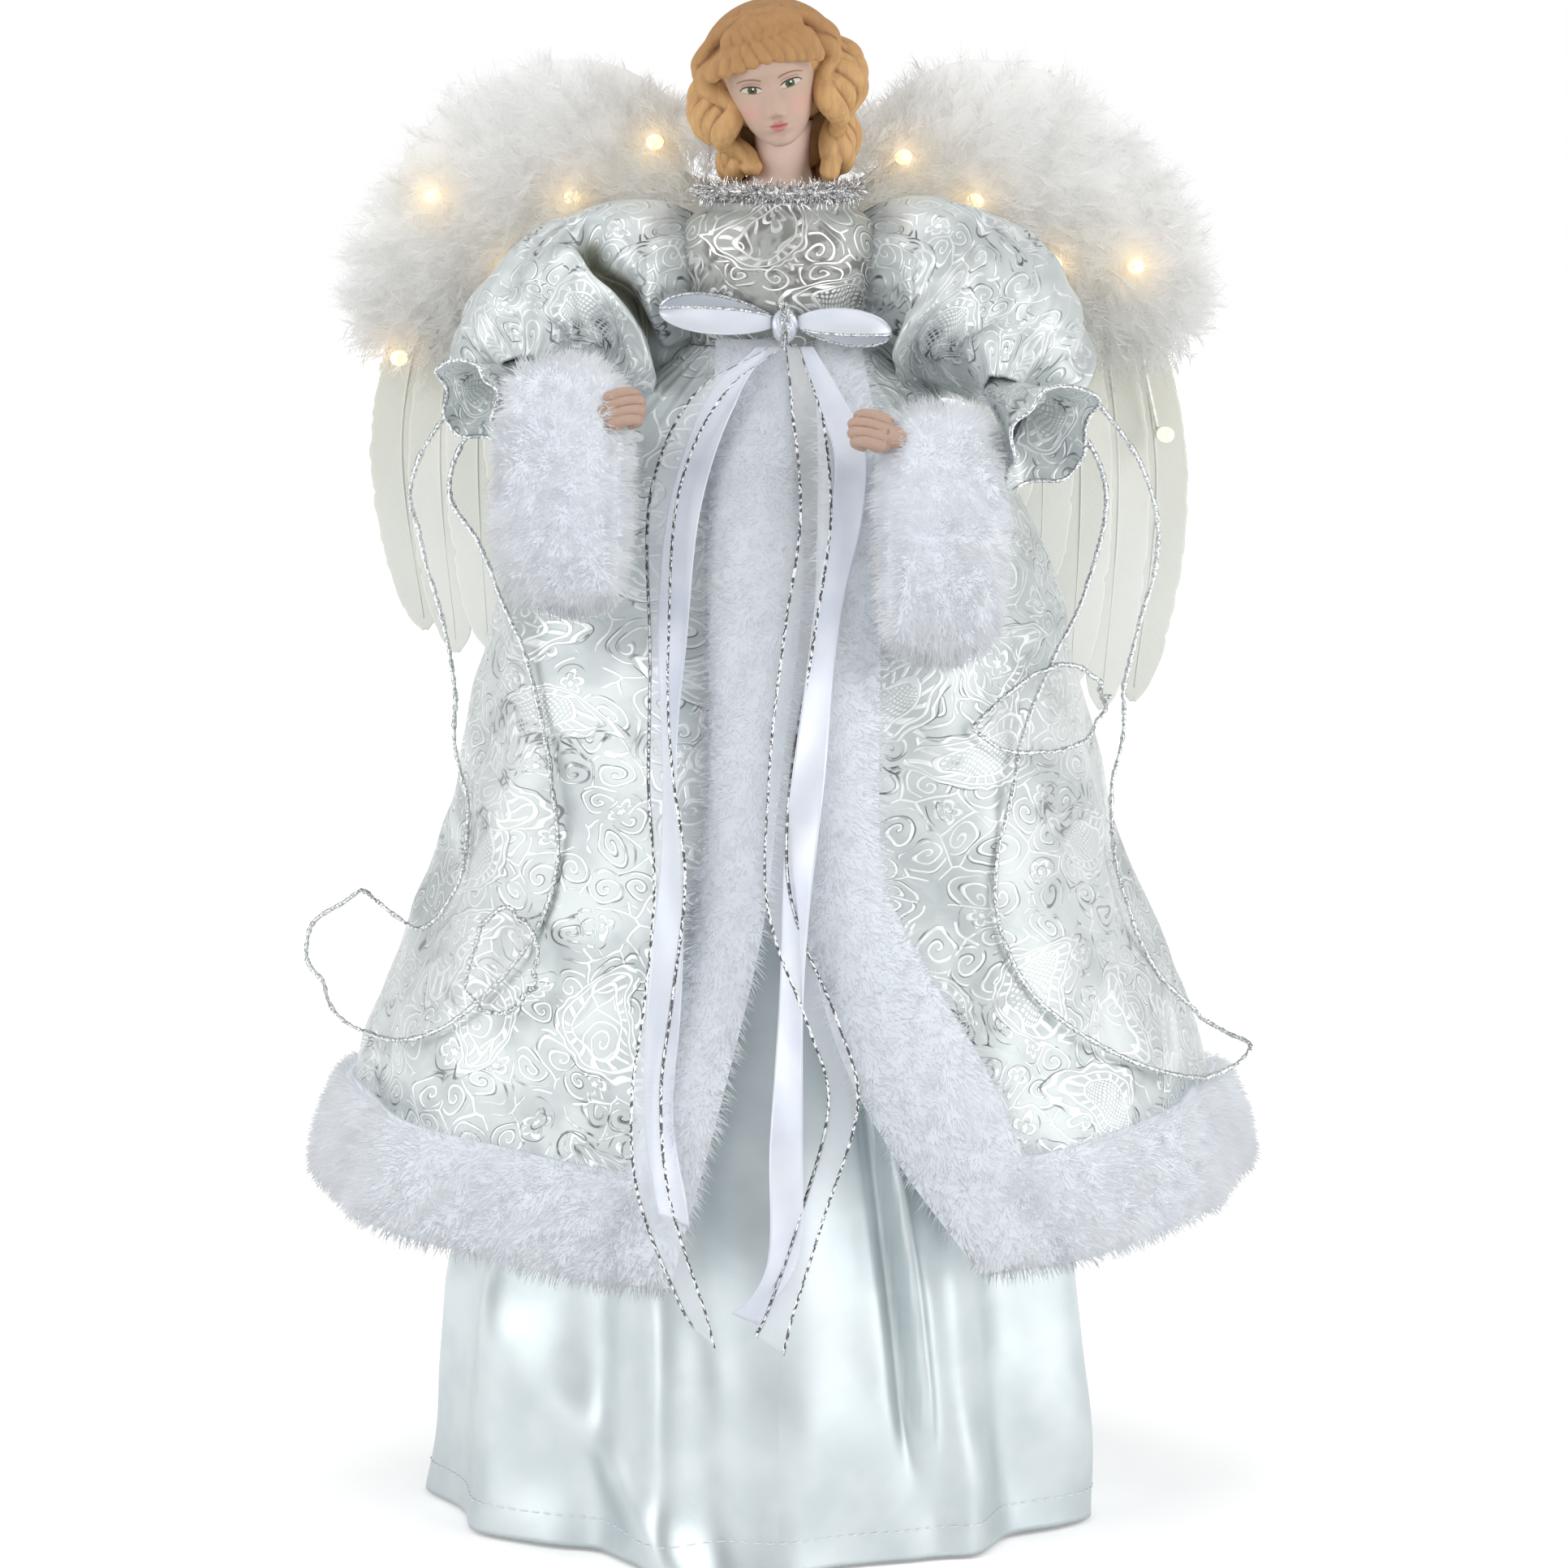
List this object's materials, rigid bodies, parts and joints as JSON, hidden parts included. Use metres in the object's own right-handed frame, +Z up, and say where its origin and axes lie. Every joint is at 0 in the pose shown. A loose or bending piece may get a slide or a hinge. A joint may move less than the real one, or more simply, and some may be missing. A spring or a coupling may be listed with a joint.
{
  "type": "angel tree topper",
  "caption": "Lit angel tree topper: bisque head and hands, brocade robe with fur trim over a satin skirt on a cone, feather wings that fold and arms that lift.",
  "frame": {"origin": "centre of the cone's mouth, on the plane that the cone's rim stands on", "axes": "+Z up, the angel looks along -Y, +X to the angel's left"},
  "size_m": [0.2565, 0.2086, 0.4059],
  "materials": {
    "card": "uncoated pulp card",
    "foam": "moulded white foam",
    "wood": "bare birch dowel",
    "bisque": "matte painted bisque, golden hair",
    "satin": "white satin with a soft sheen",
    "ribbon": "white satin ribbon",
    "organza": "sheer organza with silver wire edges",
    "brocade": "white satin brocade with silver scrolls",
    "fur": "white plush fur",
    "tinsel": "cut silver foil",
    "wire": "bare annealed wire",
    "feather": "cream white feather vanes",
    "marabou": "white marabou down",
    "cable": "thin white insulated wire",
    "lamp": "clear warm lit lamp on a white base"
  },
  "bodies": {
    "figure": {"support_cone": "card", "torso_form": "foam", "neck_dowel": "wood", "bisque_head": "bisque", "underskirt": "satin", "bodice": "brocade", "robe_skirt": "brocade", "fur_front_left": "fur", "fur_front_right": "fur", "fur_hem": "fur", "neck_tinsel": "tinsel", "bow_knot": "ribbon", "bow_loop_left": "ribbon", "bow_loop_right": "ribbon", "tail_sheer_right": "organza", "tail_satin_right": "ribbon", "tail_sheer_left": "organza", "tail_satin_left": "ribbon", "streamer_left": "organza", "streamer_right": "organza", "wing_mount_card": "card"},
    "left_arm": {"arm_wire_left": "wire", "sleeve_left": "brocade", "sleeve_flounce_left": "brocade", "fur_cuff_left": "fur", "hand_left": "bisque"},
    "right_arm": {"arm_wire_right": "wire", "sleeve_right": "brocade", "sleeve_flounce_right": "brocade", "fur_cuff_right": "fur", "hand_right": "bisque"},
    "left_wing": {"wing_frame_left": "wire", "wing_panel_left": "card", "flight_feather_1_left": "feather", "flight_feather_2_left": "feather", "flight_feather_3_left": "feather", "flight_feather_4_left": "feather", "flight_feather_5_left": "feather", "marabou_left": "marabou", "light_wire_left": "cable", "lamp_1_left": "lamp", "lamp_2_left": "lamp", "lamp_3_left": "lamp", "lamp_4_left": "lamp", "lamp_5_left": "lamp"},
    "right_wing": {"wing_frame_right": "wire", "wing_panel_right": "card", "flight_feather_1_right": "feather", "flight_feather_2_right": "feather", "flight_feather_3_right": "feather", "flight_feather_4_right": "feather", "flight_feather_5_right": "feather", "marabou_right": "marabou", "light_wire_right": "cable", "lamp_1_right": "lamp", "lamp_2_right": "lamp", "lamp_3_right": "lamp", "lamp_4_right": "lamp", "lamp_5_right": "lamp"}
  },
  "joints": [
    {"name": "left_arm_lift", "type": "hinge", "parent": "figure", "child": "left_arm", "pos_m": [0.0278, 0.001, 0.337], "axis": [-1, 0, 0], "range_deg": [0, 35]},
    {"name": "right_arm_lift", "type": "hinge", "parent": "figure", "child": "right_arm", "pos_m": [-0.0278, 0.001, 0.337], "axis": [-1, 0, 0], "range_deg": [0, 35]},
    {"name": "left_wing_fold", "type": "hinge", "parent": "figure", "child": "left_wing", "pos_m": [0.01, 0.0268, 0.333], "axis": [0, 0, 1], "range_deg": [0, 30]},
    {"name": "right_wing_fold", "type": "hinge", "parent": "figure", "child": "right_wing", "pos_m": [-0.01, 0.0268, 0.333], "axis": [0, 0, -1], "range_deg": [0, 30]}
  ]
}
